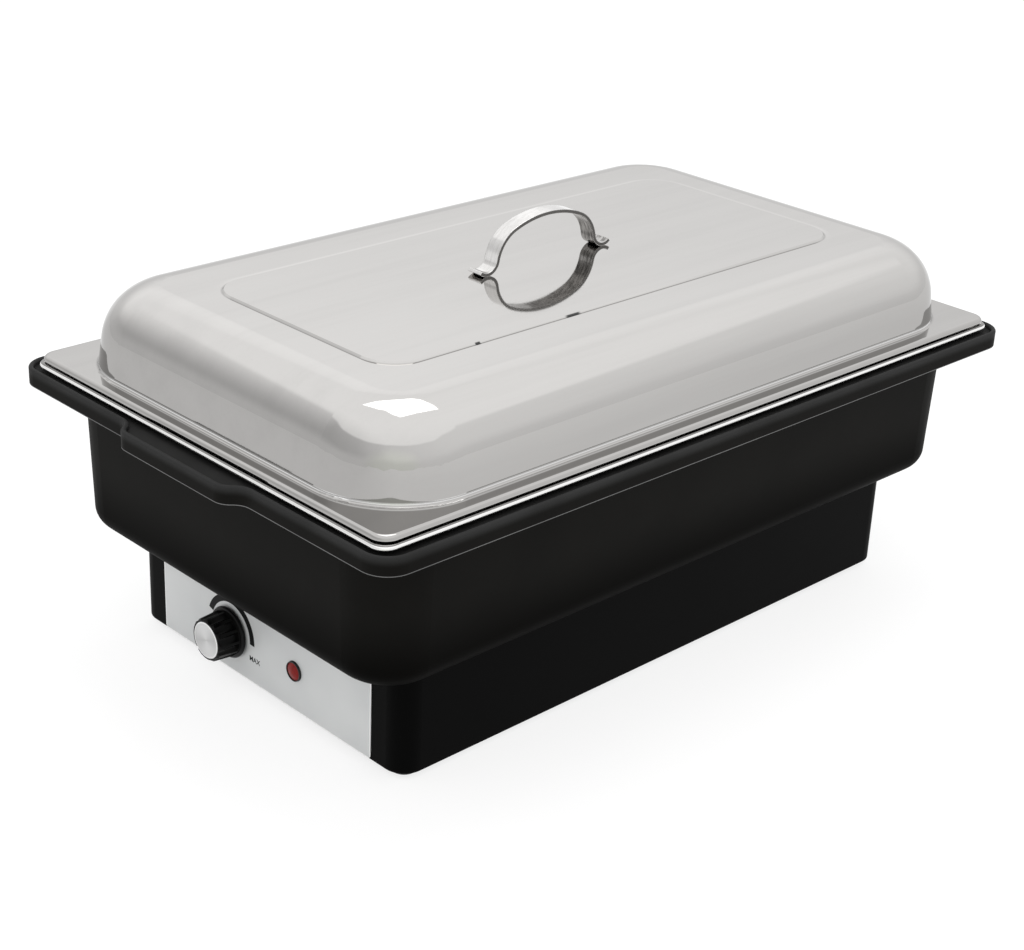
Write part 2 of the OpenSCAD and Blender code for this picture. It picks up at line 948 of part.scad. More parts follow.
// Cross bars that press the element to the plate
module element_clamps() {
  color([0.62, 0.62, 0.6])
    for (x = bar_spots)
      translate([x - bar_w / 2, 0, bar_z]) {
        translate([0, -bar_half, 0])
          cube([bar_w, 2 * bar_half, bar_t]);
        for (s = [-1, 1])
          translate([0, s > 0 ? bar_half - bar_post : -bar_half, 0])
            cube([bar_w, bar_post, heat_z - bar_z]);
      }
}

// Boil-dry safety switch against the plate
module thermal_cutout() {
  tag_h = 6;
  color([0.85, 0.82, 0.74])
    translate([cut_x, 0, heat_z - cut_h]) {
      cylinder(r = cut_r - 1.5, h = cut_h);
      translate([0, 0, cut_h - 2])
        cylinder(r = cut_r, h = 2);
      for (s = [-1, 1])
        translate([s * 4 - 0.4, -3, -tag_h])
          cube([0.8, 6, tag_h + eps]);
    }
}

// Three-way terminal block on the bottom cover
module terminal_block() {
  z0 = cover_z + cover_t;
  way = block_w / 3;
  color([0.93, 0.93, 0.9])
    difference() {
      translate([block_x - block_l / 2, -block_w / 2, z0])
        cube([block_l, block_w, block_h]);
      for (i = [-1 : 1], s = [-1, 1])
        translate([block_x + s * 6, i * way, z0 + block_h - 6])
          cylinder(r = 3, h = 7);
      for (i = [-1, 1])
        translate([block_x - block_l / 2 - eps, i * way / 2 - 1, z0 + 8])
          cube([block_l + 2 * eps, 2, block_h]);
    }
}

// Inlet outline with two slanted upper corners, grown by d
module inlet2d(d) {
  w = inlet_w / 2 + d;
  h = inlet_h / 2 + d;
  cut = 4;
  polygon([[-w, -h], [w, -h], [w, h - cut], [w - cut, h], [cut - w, h], [-w, h - cut]]);
}

// Three-pin appliance inlet in the far end of the plinth
module appliance_inlet() {
  color([0.08, 0.08, 0.08])
    translate([wall_x, 0, inlet_z])
      rotate([90, 0, 90])
        difference() {
          union() {
            linear_extrude(height = inlet_flange_t)
              rrect(inlet_flange_w / 2, inlet_flange_h / 2, 4);
            translate([0, 0, -inlet_d])
              linear_extrude(height = inlet_d + eps)
                inlet2d(0);
          }
          translate([0, 0, -inlet_d + 5])
            linear_extrude(height = inlet_d)
              inlet2d(-inlet_wall);
          for (s = [-1, 1])
            translate([s * inlet_pitch / 2, 0, -eps])
              cylinder(r = boss_bore + bore_gap, h = inlet_flange_t + 2 * eps);
          for (p = inlet_blades())
            translate([p[0], p[1], -inlet_d - eps])
              linear_extrude(height = 6)
                square([blade_t, blade_w], center = true);
        }
}

function inlet_blades() = [[-blade_pitch, -1.5], [0, 2.5], [blade_pitch, -1.5]];

// Flat pins of the inlet with their rear tags
module inlet_pins() {
  color([0.8, 0.78, 0.7])
    translate([wall_x, 0, inlet_z])
      rotate([90, 0, 90])
        for (p = inlet_blades())
          translate([p[0], p[1], -inlet_d - blade_back])
            linear_extrude(height = inlet_d + blade_back - blade_front)
              square([blade_t - bore_gap / 2, blade_w - bore_gap / 2], center = true);
}

// Two screws of the inlet flange
module inlet_screws() {
  color("silver")
    for (s = [-1, 1])
      translate([wall_x + inlet_flange_t, s * inlet_pitch / 2, inlet_z])
        rotate([0, -90, 0])
          screw(2 * boss_bore - bore_gap, inlet_flange_t + plinth_wall + 4, 3, 1.8);
}

// Line conductor from the inlet to the terminal block and on to the regulator
module live_wire() {
  z0 = cover_z + cover_t + block_h / 2;
  x_pin = wall_x - inlet_d - blade_back;
  x_reg = -in_x + reg_d + 7;
  way = block_w / 3;
  reg_z = ctrl_z + 8.4;
  color([0.45, 0.25, 0.12]) {
    wire([[x_pin, blade_pitch, inlet_z - 1.5], [x_pin - 12, blade_pitch, inlet_z - 1.5],
      [x_pin - 20, way, z0], [block_x + block_l / 2, way, z0]]);
    wire([[block_x - block_l / 2, way, z0], [block_x - block_l / 2 - 20, way, z0],
      [x_reg + 40, ctrl_y - 12, z0], [x_reg + 12, ctrl_y - 12, reg_z], [x_reg, ctrl_y - 12, reg_z]]);
  }
}

// Neutral conductor from the inlet to the terminal block and on to the lamp side
module neutral_wire() {
  z0 = cover_z + cover_t + block_h / 2;
  x_pin = wall_x - inlet_d - blade_back;
  way = block_w / 3;
  x_lamp = -plate_x + holder_l + 6;
  color([0.15, 0.3, 0.6]) {
    wire([[x_pin, -blade_pitch, inlet_z - 1.5], [x_pin - 12, -blade_pitch, inlet_z - 1.5],
      [x_pin - 20, -way, z0], [block_x + block_l / 2, -way, z0]]);
    wire([[block_x - block_l / 2, -way, z0], [block_x - block_l / 2 - 20, -way, z0],
      [x_lamp + 60, -ctrl_y, z0], [x_lamp + 20, -ctrl_y - 2, ctrl_z], [x_lamp, -ctrl_y - 2, ctrl_z]]);
  }
}

// Earth conductor from the inlet to the frame under the heater plate
module earth_wire() {
  x_pin = wall_x - inlet_d - blade_back;
  x_end = heat_a - 5;
  color([0.35, 0.6, 0.15])
    wire([[x_pin, 0, inlet_z + 2.5], [x_pin - 10, 0, inlet_z + 2.5], [x_end, 0, deck_z - frame_t - 8],
      [x_end, 0, deck_z - frame_t]]);
}

// Vented cover that closes the plinth from below
module bottom_cover() {
  grow = slide_gap;
  color([0.1, 0.1, 0.1])
    slab(cover_z, cover_t)
      difference() {
        rrect(in_x - grow, in_y - grow, plinth_corner - plinth_wall - grow);
        for (p = post_spots)
          translate(p)
            circle(r = boss_bore + bore_gap);
        for (sx = [-1, 1], sy = [-1, 1])
          translate([sx * foot_x, sy * foot_y])
            circle(r = foot_stem_r + bore_gap);
        for (i = [0 : slot_n - 1], sx = [-1, 1], sy = [-1, 1])
          translate([sx * (30 + i * slot_pitch), sy * 45])
            rrect(slot_w / 2, slot_l / 2, slot_w / 2 - eps);
      }
}

// Screws of the bottom cover
module cover_screws() {
  color([0.3, 0.3, 0.3])
    for (p = post_spots)
      translate([p[0], p[1], cover_z])
        screw(2 * boss_bore - bore_gap, cover_t + 7, 3.2, 1.8);
}

// Wide-headed screws that hold the plinth to the tank
module tank_screws() {
  color("silver")
    for (p = tank_spots)
      translate([p[0], p[1], deck_z - deck_t])
        screw(2 * boss_bore - bore_gap, deck_t + boss_dive - 1, boss_r + 2.4, 2.6);
}

// Push-in rubber feet
module rubber_feet() {
  edge = 1.2;
  neck = cover_z + cover_t;
  color([0.06, 0.06, 0.06])
    for (sx = [-1, 1], sy = [-1, 1])
      translate([sx * foot_x, sy * foot_y, 0])
        rotate_extrude()
          polygon([[0, 0], [foot_pad_r - edge, 0], [foot_pad_r, edge], [foot_pad_r, cover_z],
            [foot_stem_r, cover_z], [foot_stem_r, neck + bore_gap / 2], [foot_head_r, neck + bore_gap / 2],
            [foot_stem_r - 1, neck + 3], [0, neck + 3]]);
}

lid_shell();
lid_handle();
food_pan();
water_tank();
plinth();
control_plate();
knob();
knob_cap();
regulator_shaft();
heat_regulator();
regulator_screws();
lamp_lens();
lamp_bezel();
lamp_holder();
lamp_clip();
heater_plate();
plate_seal();
clamp_frame();
plate_nuts();
heating_element();
element_clamps();
thermal_cutout();
terminal_block();
appliance_inlet();
inlet_pins();
inlet_screws();
live_wire();
neutral_wire();
earth_wire();
bottom_cover();
cover_screws();
tank_screws();
rubber_feet();
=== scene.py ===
# %% [markdown]
# # An electric chafing dish
# The dish is already drawn as solids: a lift-off steel lid, a food pan, a black water tank, and a plinth with a
# knob. This lesson loads those solids as a fixed frame, gives each one the finish of the real piece, adds the
# printed scale, and sets up the camera, the floor and the light. One unit is one metre, and Z points up.

# %% Load the frame
import math

import bpy
from mathutils import Matrix, Vector


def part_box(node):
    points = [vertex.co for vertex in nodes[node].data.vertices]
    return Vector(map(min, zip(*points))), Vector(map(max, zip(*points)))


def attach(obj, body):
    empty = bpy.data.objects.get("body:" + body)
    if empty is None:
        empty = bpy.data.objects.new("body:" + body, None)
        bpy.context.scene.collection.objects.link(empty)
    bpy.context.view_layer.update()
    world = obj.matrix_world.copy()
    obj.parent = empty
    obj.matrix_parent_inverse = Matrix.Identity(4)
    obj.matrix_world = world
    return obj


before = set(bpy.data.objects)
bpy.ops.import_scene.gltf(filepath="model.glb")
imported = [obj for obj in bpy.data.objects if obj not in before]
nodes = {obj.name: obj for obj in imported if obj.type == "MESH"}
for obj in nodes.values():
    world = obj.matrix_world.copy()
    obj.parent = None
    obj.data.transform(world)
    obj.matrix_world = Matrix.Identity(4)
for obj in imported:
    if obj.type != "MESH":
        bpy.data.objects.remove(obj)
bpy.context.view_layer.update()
MM = 0.001

# %% [markdown]
# ## The camera
# The photograph looks down on the corner between the control end and a long side. Its place was found by matching
# the dish's corners, so the camera is set by numbers and not by eye. The lens is given in pixels of a 1024 by 950
# picture, and Blender wants millimetres on a 36 mm sensor, so it is converted here.

# %% Camera
IMAGE_WIDTH = 1024
SENSOR_WIDTH = 36.0
FOCAL_PIXELS = 1999.8
NEAR_CLIP = 0.05
CAMERA_PLACE = Vector((-0.84281, -0.83576, 0.63022))
AZIMUTH, ELEVATION, ROLL = (math.radians(a) for a in (-44.678, 24.757, 2.589))

back = Vector((math.sin(AZIMUTH) * math.cos(ELEVATION), -math.cos(AZIMUTH) * math.cos(ELEVATION),
               math.sin(ELEVATION)))
right = (-back).cross(Vector((0, 0, 1))).normalized()
up = right.cross(-back)
tilted_right = right * math.cos(ROLL) + up * math.sin(ROLL)
tilted_up = up * math.cos(ROLL) - right * math.sin(ROLL)

camera_data = bpy.data.cameras.new("camera")
camera_data.sensor_fit = "HORIZONTAL"
camera_data.sensor_width = SENSOR_WIDTH
camera_data.lens = FOCAL_PIXELS * SENSOR_WIDTH / IMAGE_WIDTH
camera_data.clip_start = NEAR_CLIP
camera = bpy.data.objects.new("camera", camera_data)
turn = Matrix((tilted_right, tilted_up, back)).transposed().to_4x4()
camera.matrix_world = Matrix.Translation(CAMERA_PLACE) @ turn
bpy.context.scene.collection.objects.link(camera)
bpy.context.scene.camera = camera
print("lens", round(camera_data.lens, 2), "mm")

# %% [markdown]
# ## Writing shaders as sums
# A finish is a small network of nodes. Wiring each node by hand hides the idea, so one class wraps a socket and
# lets Python's own operators add the Math nodes: `1 - mask` or `rings * 0.1` then read as the sums they are.

# %% Socket sums
class Sum:
    """A value on its way through a network of nodes."""

    def __init__(self, network, socket):
        self.network = network
        self.socket = socket

    def math(self, operation, first, second=0.0):
        return self.network.node("ShaderNodeMath", {"operation": operation}, {0: first, 1: second})

    def __add__(self, other):
        return self.math("ADD", self, other)

    def __radd__(self, other):
        return self.math("ADD", other, self)

    def __sub__(self, other):
        return self.math("SUBTRACT", self, other)

    def __rsub__(self, other):
        return self.math("SUBTRACT", other, self)

    def __mul__(self, other):
        return self.math("MULTIPLY", self, other)

    def __rmul__(self, other):
        return self.math("MULTIPLY", other, self)

    def __truediv__(self, other):
        return self.math("DIVIDE", self, other)

    def __pow__(self, other):
        return self.math("POWER", self, other)

    def __lt__(self, other):
        return self.math("LESS_THAN", self, other)

    def __gt__(self, other):
        return self.math("GREATER_THAN", self, other)

    def __abs__(self):
        return self.math("ABSOLUTE", self)

    def least(self, other):
        return self.math("MINIMUM", self, other)

    def most(self, other):
        return self.math("MAXIMUM", self, other)

    def ramp(self, low, high, to_low=0.0, to_high=1.0):
        """Goes smoothly from to_low to to_high while the value goes from low to high."""
        return self.network.node("ShaderNodeMapRange", {"interpolation_type": "SMOOTHSTEP"},
                                 {0: self, 1: low, 2: high, 3: to_low, 4: to_high})

    def band(self, middle, half):
        """One at the middle, and nothing beyond half on either side."""
        return abs(self - middle).ramp(0.0, half, 1.0, 0.0)


print("sums ready")

# %% [markdown]
# ## Networks
# A network is the node tree of a material or of the world. Its `node` method makes any node from its type, its
# settings and its inputs, and returns the output as a sum. Colours are mixed by a Mix node, because a Math node
# would turn them grey.

# %% Network
class Network:
    """A node tree that is built up by sums."""

    def __init__(self, tree):
        self.tree = tree
        tree.nodes.clear()

    def put(self, socket, value):
        if isinstance(value, Sum):
            self.tree.links.new(value.socket, socket)
        else:
            socket.default_value = value

    def node(self, kind, settings=None, inputs=None, output=0):
        made = self.tree.nodes.new(kind)
        for name, value in (settings or {}).items():
            setattr(made, name, value)
        for name, value in (inputs or {}).items():
            self.put(made.inputs[name], value)
        return Sum(self, made.outputs[output])

    def axes(self, point):
        split = self.node("ShaderNodeSeparateXYZ", inputs={0: point}).socket.node
        return [Sum(self, split.outputs[i]) for i in range(3)]

    def mix(self, share, first, second):
        """A colour between two colours."""
        return self.node("ShaderNodeMix", {"data_type": "RGBA"}, {0: share, 6: first, 7: second}, output=2)


print("networks ready")

# %% [markdown]
# ## Finishes
# A finish is a network with a Principled shader in it, which can be any surface from steel to rubber, so every
# piece of the dish is finished in the same way. Noise and bump are fixed to the piece, and move with it.

# %% Finish class
EDGE_SAMPLES = 6


class Finish(Network):
    """One material with a Principled shader."""

    def __init__(self, name):
        self.material = bpy.data.materials.new(name)
        self.material.use_nodes = True
        super().__init__(self.material.node_tree)
        self.shader = self.tree.nodes.new("ShaderNodeBsdfPrincipled")
        output = self.tree.nodes.new("ShaderNodeOutputMaterial")
        self.tree.links.new(self.shader.outputs[0], output.inputs[0])

    def place(self):
        """The point on the piece, in metres, fixed to the piece."""
        return self.node("ShaderNodeTexCoord", output="Object")

    def facing(self):
        """The way the surface faces, fixed to the piece."""
        return self.node("ShaderNodeTexCoord", output="Normal")

    def stretched(self, x, y, z):
        """The point with each axis scaled, which draws a noise out into streaks."""
        return self.node("ShaderNodeVectorMath", {"operation": "MULTIPLY"}, {0: self.place(), 1: (x, y, z)})

    def noise(self, point, scale, detail=3.0, roughness=0.5):
        return self.node("ShaderNodeTexNoise", inputs={"Vector": point, "Scale": scale, "Detail": detail,
                                                       "Roughness": roughness})

    def bump(self, height, distance, strength=1.0, normal=None):
        inputs = {"Height": height, "Distance": distance, "Strength": strength}
        if normal is not None:
            inputs["Normal"] = normal
        return self.node("ShaderNodeBump", inputs=inputs)

    def soft_edge(self, radius):
        """A normal that rounds sharp edges, as every moulded or cut edge is rounded."""
        return self.node("ShaderNodeBevel", {"samples": EDGE_SAMPLES}, {"Radius": radius})

    def set(self, **sockets):
        for name, value in sockets.items():
            self.put(self.shader.inputs[name.replace("_", " ")], value)
        return self.material


print("finishes ready")

# %% [markdown]
# ## Colours and dressing
# Three small helpers are used all through: a grey, a colour made darker or lighter, and the step that puts a
# finish on pieces of the frame.

# %% Helpers
def grey(value):
    return (value, value, value, 1.0)


def tinted(colour, share):
    """A colour made darker or lighter."""
    return tuple(share * part for part in colour[:3]) + (1.0,)


def dress(material, *names):
    """Puts a finish on CAD pieces."""
    for name in names:
        slots = nodes[name].data.materials
        slots.clear()
        slots.append(material)
    print(material.name, "on", ", ".join(names))


print("helpers ready")

# %% [markdown]
# ## Polished steel
# The lid is pressed from thin stainless sheet and polished until it mirrors the room. A perfect mirror looks
# false, because real polishing leaves fine lines along the sheet, and pressing leaves the sheet a little wavy.
# The noise is drawn out along X for the lines, and a slow, shallow bump bends the reflections. Steel returns a
# little over half of the light, which matters here: where the rim mirrors the dome and the dome mirrors the rim,
# the light is halved twice, and that makes the dark band round the foot of the dome.

# %% Steel
LID_STEEL = (0.560, 0.549, 0.537, 1.0)
GRAZING_STEEL = grey(0.82)
POLISH_STRETCH = (5.0, 700.0, 700.0)


def polish(steel, line_depth, wave_depth):
    """Polish lines, slow patches and the normal that both make."""
    lines = steel.noise(steel.stretched(*POLISH_STRETCH), 1.0, 4.0, 0.6)
    patches = steel.noise(steel.place(), 9.0, 3.0)
    waves = steel.noise(steel.place(), 6.0, 1.0)
    normal = steel.bump(lines, line_depth, 0.5, steel.bump(waves, wave_depth))
    return lines, patches, normal


print("steel returns", LID_STEEL[:3], "of the light")

# %% [markdown]
# ## Distance from an edge
# The lid's pressed panel and the pan's rim both follow a rectangle with round corners. How far a point lies
# outside such a rectangle is a short sum, and it places any line that runs round it.

# %% Edge distance
def edge_distance(steel, half, corner):
    """How far a point lies outside a rectangle with round corners, seen from above."""
    x, y = steel.axes(steel.place())[:2]
    beyond_x = abs(x) - (half[0] - corner)
    beyond_y = abs(y) - (half[1] - corner)
    out_x, out_y = beyond_x.most(0.0), beyond_y.most(0.0)
    past_corner = (out_x * out_x + out_y * out_y) ** 0.5
    return past_corner + beyond_x.most(beyond_y).least(0.0) - corner


print("edge distance ready")

# %% [markdown]
# ## The lid
# A raised panel is pressed into the top of the lid, and its edge shows as one thin crisp line. The step is in the
# solid, but a mirror shows so small a step faintly, so painted shade darkens the steel along it, and a painted
# highlight lightens the slope on its far side. The walls are painted darker towards their foot, and the end walls
# darker still: painted shade. The front of the step carries two short dark dashes. Where wall and flange meet, a
# painted highlight makes a bright line round the foot.

# %% Lid
LID_LINES, LID_WAVES = 0.0025 * MM, 0.03 * MM
PANEL_HALF, PANEL_CORNER = (195.0 * MM, 83.0 * MM), 24.0 * MM
PANEL_LEVEL = 226.0 * MM
STEP_LINE = (-0.3 * MM, 0.9 * MM)
SLOPE_LINE = (1.0 * MM, 4.0 * MM)
DASH_LINE = (-0.4 * MM, 1.6 * MM)
DASH_PLACES = ((-129.0 * MM, 3.0 * MM), (-54.0 * MM, 9.0 * MM))
WALL_FOOT, WALL_TOP = 192.0 * MM, 224.0 * MM
# Where the painted highlight runs round the foot of the dome.
FOLD_LINE = (183.5 * MM, 0.9 * MM)
# These shares scale the steel's colour: the side and end shares paint shade on the walls, the slope share paints a
# highlight and the step share paints shade.
SIDE_SHADE_SHARE, END_SHADE_SHARE, WORN_SHARE = 0.79, 0.70, 0.91
SLOPE_HIGHLIGHT_SHARE, STEP_SHADE_SHARE = 1.14, 0.55


def steel_at_share(steel, worn, share):
    """Steel with its colour scaled by a share, which is painted shade where the share is below one, and a little
    darker where it is worn.
    """
    return steel.mix(worn, tinted(LID_STEEL, share), tinted(LID_STEEL, share * WORN_SHARE))


def lid_polish():
    steel = Finish("lid polish")
    lines, patches, normal = polish(steel, LID_LINES, LID_WAVES)
    streaks = steel.noise(steel.stretched(3.0, 55.0, 55.0), 1.0, 4.0, 0.6)
    worn = lines * 0.25 + patches * 0.25 + streaks.ramp(0.35, 0.75) * 0.5
    x, y, z = steel.axes(steel.place())

    # Painted shade: the walls are painted darker towards their foot, and the end walls darker still.
    wall = z.ramp(WALL_FOOT, WALL_TOP, 1.0, 0.0)
    end_wall_shade = abs(steel.axes(steel.facing())[0]).ramp(0.60, 0.90)
    shaded_shell = steel.mix(wall, steel_at_share(steel, worn, 1.0), steel_at_share(steel, worn, SIDE_SHADE_SHARE))
    shaded_shell = steel.mix(end_wall_shade, shaded_shell, steel_at_share(steel, worn, END_SHADE_SHARE))

    distance = edge_distance(steel, PANEL_HALF, PANEL_CORNER)
    on_top = z > PANEL_LEVEL
    # Painted highlight on the slope of the step on its far side, and painted shade along the step's edge.
    far_side = (x / PANEL_HALF[0] + y / PANEL_HALF[1]).ramp(-0.1, 0.3)
    slope_highlight = distance.band(*SLOPE_LINE) * far_side * on_top
    step_shade = distance.band(*STEP_LINE) * on_top
    with_slope_highlight = steel.mix(slope_highlight * 0.8, shaded_shell, tinted(LID_STEEL, SLOPE_HIGHLIGHT_SHARE))
    step_shaded = steel.mix(step_shade * 0.55, with_slope_highlight, tinted(LID_STEEL, STEP_SHADE_SHARE))
    # Painted highlight: a bright line round the foot of the dome, where wall and flange meet.
    fold_highlighted = steel.mix(z.band(*FOLD_LINE), step_shaded, grey(0.95))

    # Two short dark dashes on the front of the step.
    dark_marks = (x.band(*DASH_PLACES[0]) + x.band(*DASH_PLACES[1])) * (y < 0.0)
    marked = dark_marks.ramp(0.1, 0.6) * distance.band(*DASH_LINE).ramp(0.1, 0.6) * on_top
    return steel.set(Base_Color=steel.mix(marked, fold_highlighted, grey(0.06)), Metallic=1.0,
                     Specular_Tint=GRAZING_STEEL, Normal=normal,
                     Roughness=0.025 + lines * 0.02 + patches * 0.025)


dress(lid_polish(), "lid_shell")

# %% [markdown]
# ## The handle
# The handle is a bent strap. Its broad faces are polished, but its edges are only sheared and tumbled, so they are
# duller, and their colour is painted much darker as painted shade. Which is which can be read from the way the
# surface faces, because the strap lies along X. The inner face is the one that looks towards the middle of the
# arch, under it, and its colour is painted darker as painted shade, with darker streaks from a stretched noise.

# %% Handle
STRAP_LINES, STRAP_WAVES = 0.004 * MM, 0.01 * MM
STRAP_ROUND = 0.8 * MM
ARCH_CENTRE = 236.0 * MM
STRAP_BRIGHT, STRAP_WORN = (0.74, 0.73, 0.72, 1.0), (0.40, 0.39, 0.38, 1.0)
# Painted shade on the inner face, under the arch.
INNER_SHADED, INNER_SHADED_STREAKED = (0.44, 0.43, 0.42, 1.0), (0.17, 0.165, 0.16, 1.0)
# Painted shade on the sheared edges.
SHEARED_SHADE_STEEL = (0.16, 0.155, 0.15, 1.0)


def handle_polish():
    steel = Finish("handle polish")
    lines, patches = polish(steel, STRAP_LINES, STRAP_WAVES)[:2]
    rounded = steel.soft_edge(STRAP_ROUND)
    # The sheared edges are duller by their roughness, and their colour is painted much darker: painted shade.
    sheared_dull_and_shade = abs(steel.axes(rounded)[1]).ramp(0.80, 0.97)
    place, face = steel.axes(steel.place()), steel.axes(steel.facing())
    # Painted shade: the face under the arch, towards its middle, is painted darker, with darker streaks from a
    # stretched noise.
    inner = (place[0] * face[0] + (place[2] - ARCH_CENTRE) * face[2]).ramp(-4.0 * MM, 0.0, 1.0, 0.0)
    dark_marks = steel.noise(steel.stretched(200.0, 900.0, 60.0), 1.0, 4.0, 0.7)
    outer_face = steel.mix(dark_marks.ramp(0.35, 0.75) * 0.4 + patches * 0.2, STRAP_BRIGHT, STRAP_WORN)
    shaded_inner_face = steel.mix(dark_marks.ramp(0.40, 0.60), INNER_SHADED, INNER_SHADED_STREAKED)
    faces = steel.mix(inner, outer_face, shaded_inner_face)
    return steel.set(Base_Color=steel.mix(sheared_dull_and_shade, faces, SHEARED_SHADE_STEEL), Metallic=1.0,
                     Roughness=0.07 + lines * 0.05 + sheared_dull_and_shade * 0.22,
                     Normal=steel.bump(lines, STRAP_LINES, 0.5, rounded))


dress(handle_polish(), "lid_handle")

# %% [markdown]
# ## The food pan
# The pan is plainer than the lid: it is drawn deep. The rolled edge of its rim carries a painted highlight up to
# where the lid sits on it, and painted shade above that, under the lid.

# %% Pan
PAN_LINES, PAN_WAVES = 0.0012 * MM, 0.05 * MM
PAN_HALF, PAN_CORNER = (265.0 * MM, 162.5 * MM), 10.0 * MM
ROLL_START, ROLL_FULL = -3.2 * MM, -2.8 * MM
LID_SEAT = 176.9 * MM
DRAWN_STEEL, DRAWN_WORN = (0.60, 0.595, 0.58, 1.0), (0.52, 0.515, 0.50, 1.0)
# Painted highlight and painted shade on the rolled edge.
ROLL_HIGHLIGHT, ROLL_SHADE = (0.86, 0.855, 0.845, 1.0), (0.20, 0.195, 0.19, 1.0)


def pan_polish():
    steel = Finish("pan polish")
    lines, patches, normal = polish(steel, PAN_LINES, PAN_WAVES)
    z = steel.axes(steel.place())[2]
    rolled_edge = edge_distance(steel, PAN_HALF, PAN_CORNER).ramp(ROLL_START, ROLL_FULL)
    drawn = steel.mix(lines * 0.4 + patches * 0.4, DRAWN_STEEL, DRAWN_WORN)
    # Painted highlight on the rolled edge below the lid's seat, and painted shade above it, under the lid.
    painted_roll = steel.mix(z > LID_SEAT, ROLL_HIGHLIGHT, ROLL_SHADE)
    return steel.set(Base_Color=steel.mix(rolled_edge, drawn, painted_roll), Metallic=1.0, Normal=normal,
                     Roughness=0.12 + lines * 0.06 + patches * 0.06)


dress(pan_polish(), "food_pan")

# %% [markdown]
# ## Black mouldings
# Tank, plinth and cover are black plastic with a fine spark-eroded grain, so they are satin and not glossy. A fine
# noise lifts the surface by a few hundredths of a millimetre at most, and a slow one lets the sheen wander. The
# Bevel node rounds the sharp edges of the solids.

# %% Plinth and cover
MOULDING_ROUND, COVER_ROUND = 0.8 * MM, 0.4 * MM
GRAIN_DEPTH = 0.05 * MM


def moulding(name, colour, rough, sheen, edge):
    """Satin black plastic, with its tone and the slow noise in it."""
    plastic = Finish(name)
    grain = plastic.noise(plastic.place(), 1500.0, 2.0, 0.6)
    cloud = plastic.noise(plastic.place(), 22.0, 3.0)
    tone = plastic.mix(cloud.ramp(0.3, 0.7), colour, tinted(colour, 1.3))
    plastic.set(Base_Color=tone, Roughness=rough + cloud * 0.08 + grain * 0.06, Specular_IOR_Level=sheen,
                Normal=plastic.bump(grain, GRAIN_DEPTH, 0.3, plastic.soft_edge(edge)))
    return plastic, tone, cloud


# The plinth's black is painted far deeper than the tank's: painted shade under the tank's overhang.
dress(moulding("shaded plinth moulding", grey(0.0008), 0.42, 0.03, MOULDING_ROUND)[0].material, "plinth")
dress(moulding("cover moulding", grey(0.0050), 0.5, 0.25, COVER_ROUND)[0].material, "bottom_cover")

# %% [markdown]
# ## The water tank
# The tank is the same plastic. Its wall is painted darker towards the bottom as painted shade, and the top of its
# rim is painted a little greyer as a painted highlight. The upper wall has a thin sheen, which is a light coat over
# the plastic. Along the lower edge of the rim runs a thin paler line, a painted highlight on that edge.

# %% Tank
TANK_BLACK = (0.0054, 0.0051, 0.0045, 1.0)
# The low share and the wall range paint shade on the lower wall; the rim and edge greys paint highlights on the
# rim.
LOW_SHADE_SHARE = 0.5
RIM_HIGHLIGHT_GREY, LOW_EDGE_HIGHLIGHT_GREY = grey(0.030), grey(0.22)
WALL_SHADE_RANGE = (80.0 * MM, 125.0 * MM)
RIM_HIGHLIGHT_RANGE = (169.0 * MM, 174.5 * MM)
LOW_EDGE_HIGHLIGHT = (164.2 * MM, 0.45 * MM)
SHEEN = 0.065


def tank_moulding():
    plastic, tone, cloud = moulding("tank moulding", TANK_BLACK, 0.44, 0.014, MOULDING_ROUND)
    z = plastic.axes(plastic.place())[2]
    # Painted shade: the wall is painted darker towards the bottom.
    low = z.ramp(*WALL_SHADE_RANGE, 1.0, 0.0)
    tone = plastic.mix(low, tone, tinted(TANK_BLACK, LOW_SHADE_SHARE))
    # Painted highlight: the top of the rim is painted greyer, patchy by the slow noise.
    tone = plastic.mix(z.ramp(*RIM_HIGHLIGHT_RANGE) * (0.5 + cloud), tone, RIM_HIGHLIGHT_GREY)
    # Painted highlight: a thin paler line along the lower edge of the rim.
    tone = plastic.mix(z.band(*LOW_EDGE_HIGHLIGHT) * (0.6 + cloud * 0.8), tone, LOW_EDGE_HIGHLIGHT_GREY)
    return plastic.set(Base_Color=tone, Coat_Weight=(1 - low) * SHEEN, Coat_Roughness=0.4)


dress(tank_moulding(), "water_tank")

# %% [markdown]
# ## The control plate
# The plate is a thin metal sheet with a satin silver lacquer, and a white line is painted round its edge. Its
# print is a scale round the knob and one word, and both are made further down as thin layers of ink that lie on
# the plate.

# %% Control plate
PLATE_LOW, PLATE_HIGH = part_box("control_plate")
PLATE_BORDER = 0.9 * MM
LACQUER_DARK, LACQUER_LIGHT = (0.60, 0.61, 0.615, 1.0), (0.67, 0.68, 0.68, 1.0)


def silver_plate():
    plate = Finish("silver plate")
    streaks = plate.noise(plate.stretched(40.0, 40.0, 1400.0), 1.0, 3.0)
    cloud = plate.noise(plate.place(), 18.0, 2.0)
    y, z = plate.axes(plate.place())[1:]
    inset_y = (y - PLATE_LOW.y).least(PLATE_HIGH.y - y)
    inset_z = (z - PLATE_LOW.z).least(PLATE_HIGH.z - z)
    border = inset_y.least(inset_z).ramp(0.5 * PLATE_BORDER, PLATE_BORDER, 1.0, 0.0)
    lacquer = plate.mix(cloud.ramp(0.3, 0.7), LACQUER_DARK, LACQUER_LIGHT)
    return plate.set(Base_Color=plate.mix(border, lacquer, grey(0.95)), Metallic=0.15,
                     Roughness=0.36 + streaks * 0.1,
                     Normal=plate.bump(streaks, 0.01 * MM, 0.3, plate.soft_edge(0.4 * MM)))


dress(silver_plate(), "control_plate")

